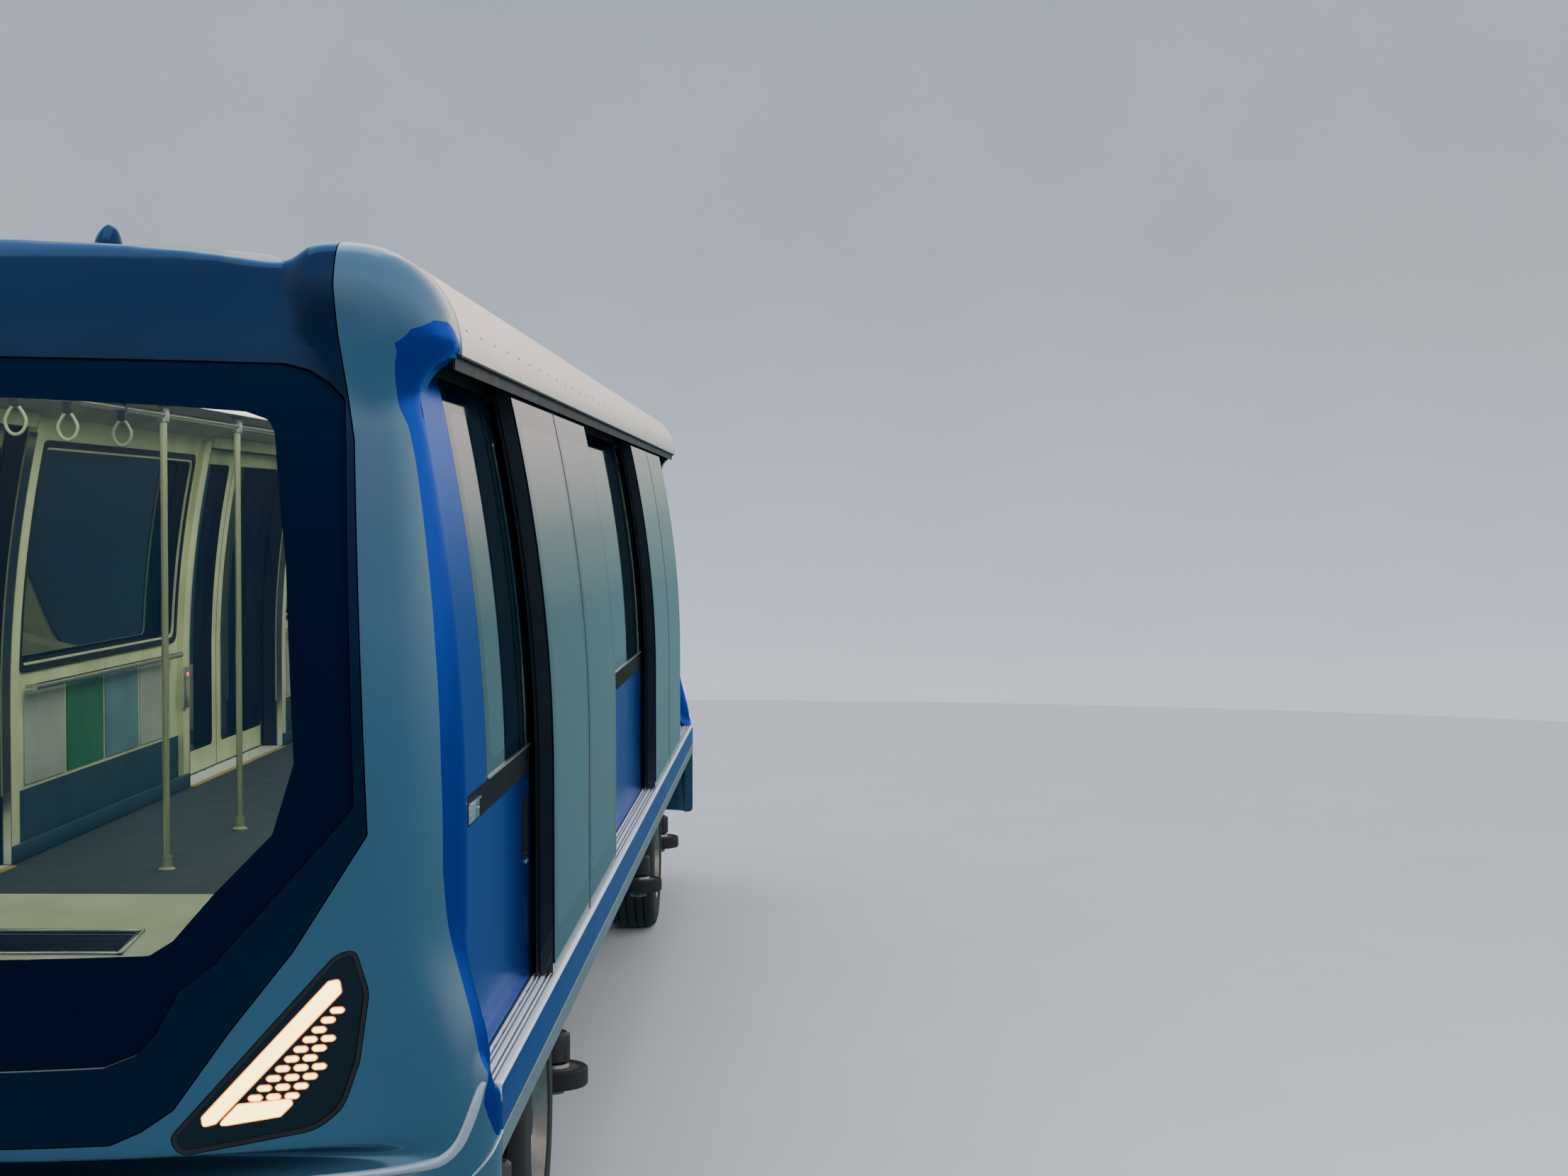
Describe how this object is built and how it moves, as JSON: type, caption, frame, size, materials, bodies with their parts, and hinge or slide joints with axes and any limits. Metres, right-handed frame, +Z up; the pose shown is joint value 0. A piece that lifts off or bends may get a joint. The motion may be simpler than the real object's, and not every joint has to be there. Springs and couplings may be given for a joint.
{
  "type": "automated people mover car",
  "caption": "Double-ended rubber-tyred guideway car with parting outside doors, dark end masks, steered single-axle bogies, guide wheels and couplers.",
  "frame": {"origin": "on the running surface, midway along the car and on its centreline", "axes": "+X towards the front end, +Y to the car's left side, +Z up"},
  "size_m": [11.8, 2.85, 3.56],
  "materials": {
    "slate_paint": "metallic gloss",
    "blue_paint": "gloss",
    "silver_panel": "metallic gloss",
    "dark_mask": "gloss",
    "tinted_glass": "gloss, tinted",
    "sill_metal": "ribbed, satin",
    "lamp_lens": "clear over dark",
    "cream_lining": "satin",
    "floor_covering": "matt",
    "dark_steel": "matt",
    "grab_steel": "brushed",
    "black_rubber": "matt",
    "roof_panel": "satin",
    "door_glass": "gloss, tinted"
  },
  "bodies": {
    "car_body": {"underframe": "dark_steel", "underfloor_cases": "dark_steel", "floor": "floor_covering", "roof_deck": "roof_panel", "side_wall_left": "blue_paint", "window_front_left": "tinted_glass", "window_middle_left": "tinted_glass", "window_rear_left": "tinted_glass", "sill_left": "sill_metal", "roof_fairing_left": "silver_panel", "grab_rails_left": "grab_steel", "side_wall_right": "blue_paint", "window_front_right": "tinted_glass", "window_middle_right": "tinted_glass", "window_rear_right": "tinted_glass", "sill_right": "sill_metal", "roof_fairing_right": "silver_panel", "grab_rails_right": "grab_steel", "air_conditioner_front": "roof_panel", "end_cap_front": "slate_paint", "end_mask_front": "dark_mask", "windscreen_front": "tinted_glass", "console_front": "cream_lining", "coupler_bracket_front": "dark_steel", "lamp_front_left": "lamp_lens", "lamp_front_right": "lamp_lens", "air_conditioner_rear": "roof_panel", "end_cap_rear": "slate_paint", "end_mask_rear": "dark_mask", "windscreen_rear": "tinted_glass", "console_rear": "cream_lining", "coupler_bracket_rear": "dark_steel", "lamp_rear_left": "lamp_lens", "lamp_rear_right": "lamp_lens"},
    "bogie_front": {"bogie_frame_front": "dark_steel"},
    "road_wheel_front_left": {"road_wheel_front_left": "black_rubber"},
    "guide_wheel_front_left_fore": {"guide_wheel_front_left_fore": "black_rubber"},
    "guide_wheel_front_left_aft": {"guide_wheel_front_left_aft": "black_rubber"},
    "road_wheel_front_right": {"road_wheel_front_right": "black_rubber"},
    "guide_wheel_front_right_fore": {"guide_wheel_front_right_fore": "black_rubber"},
    "guide_wheel_front_right_aft": {"guide_wheel_front_right_aft": "black_rubber"},
    "coupler_front": {"coupler_front": "dark_steel"},
    "bogie_rear": {"bogie_frame_rear": "dark_steel"},
    "road_wheel_rear_left": {"road_wheel_rear_left": "black_rubber"},
    "guide_wheel_rear_left_fore": {"guide_wheel_rear_left_fore": "black_rubber"},
    "guide_wheel_rear_left_aft": {"guide_wheel_rear_left_aft": "black_rubber"},
    "road_wheel_rear_right": {"road_wheel_rear_right": "black_rubber"},
    "guide_wheel_rear_right_fore": {"guide_wheel_rear_right_fore": "black_rubber"},
    "guide_wheel_rear_right_aft": {"guide_wheel_rear_right_aft": "black_rubber"},
    "coupler_rear": {"coupler_rear": "dark_steel"},
    "door_front_left_fore": {"door_front_left_fore": "door_glass"},
    "door_front_left_aft": {"door_front_left_aft": "door_glass"},
    "door_front_right_fore": {"door_front_right_fore": "door_glass"},
    "door_front_right_aft": {"door_front_right_aft": "door_glass"},
    "door_rear_left_fore": {"door_rear_left_fore": "door_glass"},
    "door_rear_left_aft": {"door_rear_left_aft": "door_glass"},
    "door_rear_right_fore": {"door_rear_right_fore": "door_glass"},
    "door_rear_right_aft": {"door_rear_right_aft": "door_glass"}
  },
  "joints": [
    {"name": "steer_front", "type": "hinge", "parent": "car_body", "child": "bogie_front", "pos_m": [3.4, 0, 0.9], "axis": [0, 0, 1], "range_deg": [-5, 5]},
    {"name": "roll_front_left", "type": "hinge", "parent": "bogie_front", "child": "road_wheel_front_left", "pos_m": [3.4, 1.15, 0.47], "axis": [0, 1, 0], "continuous": true},
    {"name": "guide_roll_front_left_fore", "type": "hinge", "parent": "bogie_front", "child": "guide_wheel_front_left_fore", "pos_m": [4.35, 1.24, 0.41], "axis": [0, 0, 1], "continuous": true},
    {"name": "guide_roll_front_left_aft", "type": "hinge", "parent": "bogie_front", "child": "guide_wheel_front_left_aft", "pos_m": [2.45, 1.24, 0.41], "axis": [0, 0, 1], "continuous": true},
    {"name": "roll_front_right", "type": "hinge", "parent": "bogie_front", "child": "road_wheel_front_right", "pos_m": [3.4, -1.15, 0.47], "axis": [0, 1, 0], "continuous": true},
    {"name": "guide_roll_front_right_fore", "type": "hinge", "parent": "bogie_front", "child": "guide_wheel_front_right_fore", "pos_m": [4.35, -1.24, 0.41], "axis": [0, 0, 1], "continuous": true},
    {"name": "guide_roll_front_right_aft", "type": "hinge", "parent": "bogie_front", "child": "guide_wheel_front_right_aft", "pos_m": [2.45, -1.24, 0.41], "axis": [0, 0, 1], "continuous": true},
    {"name": "coupler_swing_front", "type": "hinge", "parent": "car_body", "child": "coupler_front", "pos_m": [5.08, 0, 0.62], "axis": [0, 0, 1], "range_deg": [-12, 12]},
    {"name": "steer_rear", "type": "hinge", "parent": "car_body", "child": "bogie_rear", "pos_m": [-3.4, 0, 0.9], "axis": [0, 0, 1], "range_deg": [-5, 5]},
    {"name": "roll_rear_left", "type": "hinge", "parent": "bogie_rear", "child": "road_wheel_rear_left", "pos_m": [-3.4, 1.15, 0.47], "axis": [0, 1, 0], "continuous": true},
    {"name": "guide_roll_rear_left_fore", "type": "hinge", "parent": "bogie_rear", "child": "guide_wheel_rear_left_fore", "pos_m": [-2.45, 1.24, 0.41], "axis": [0, 0, 1], "continuous": true},
    {"name": "guide_roll_rear_left_aft", "type": "hinge", "parent": "bogie_rear", "child": "guide_wheel_rear_left_aft", "pos_m": [-4.35, 1.24, 0.41], "axis": [0, 0, 1], "continuous": true},
    {"name": "roll_rear_right", "type": "hinge", "parent": "bogie_rear", "child": "road_wheel_rear_right", "pos_m": [-3.4, -1.15, 0.47], "axis": [0, 1, 0], "continuous": true},
    {"name": "guide_roll_rear_right_fore", "type": "hinge", "parent": "bogie_rear", "child": "guide_wheel_rear_right_fore", "pos_m": [-2.45, -1.24, 0.41], "axis": [0, 0, 1], "continuous": true},
    {"name": "guide_roll_rear_right_aft", "type": "hinge", "parent": "bogie_rear", "child": "guide_wheel_rear_right_aft", "pos_m": [-4.35, -1.24, 0.41], "axis": [0, 0, 1], "continuous": true},
    {"name": "coupler_swing_rear", "type": "hinge", "parent": "car_body", "child": "coupler_rear", "pos_m": [-5.08, 0, 0.62], "axis": [0, 0, 1], "range_deg": [-12, 12]},
    {"name": "door_slide_front_left_fore", "type": "slide", "parent": "car_body", "child": "door_front_left_fore", "axis": [1, 0, 0], "range_m": [0, 1.15]},
    {"name": "door_slide_front_left_aft", "type": "slide", "parent": "car_body", "child": "door_front_left_aft", "axis": [-1, 0, 0], "range_m": [0, 1.15]},
    {"name": "door_slide_front_right_fore", "type": "slide", "parent": "car_body", "child": "door_front_right_fore", "axis": [1, 0, 0], "range_m": [0, 1.15]},
    {"name": "door_slide_front_right_aft", "type": "slide", "parent": "car_body", "child": "door_front_right_aft", "axis": [-1, 0, 0], "range_m": [0, 1.15]},
    {"name": "door_slide_rear_left_fore", "type": "slide", "parent": "car_body", "child": "door_rear_left_fore", "axis": [1, 0, 0], "range_m": [0, 1.15]},
    {"name": "door_slide_rear_left_aft", "type": "slide", "parent": "car_body", "child": "door_rear_left_aft", "axis": [-1, 0, 0], "range_m": [0, 1.15]},
    {"name": "door_slide_rear_right_fore", "type": "slide", "parent": "car_body", "child": "door_rear_right_fore", "axis": [1, 0, 0], "range_m": [0, 1.15]},
    {"name": "door_slide_rear_right_aft", "type": "slide", "parent": "car_body", "child": "door_rear_right_aft", "axis": [-1, 0, 0], "range_m": [0, 1.15]}
  ],
  "couplings": [
    {"joint": "door_slide_front_left_aft", "follows": "door_slide_front_left_fore", "ratio": 1},
    {"joint": "door_slide_front_right_aft", "follows": "door_slide_front_right_fore", "ratio": 1},
    {"joint": "door_slide_rear_left_aft", "follows": "door_slide_rear_left_fore", "ratio": 1},
    {"joint": "door_slide_rear_right_aft", "follows": "door_slide_rear_right_fore", "ratio": 1}
  ]
}
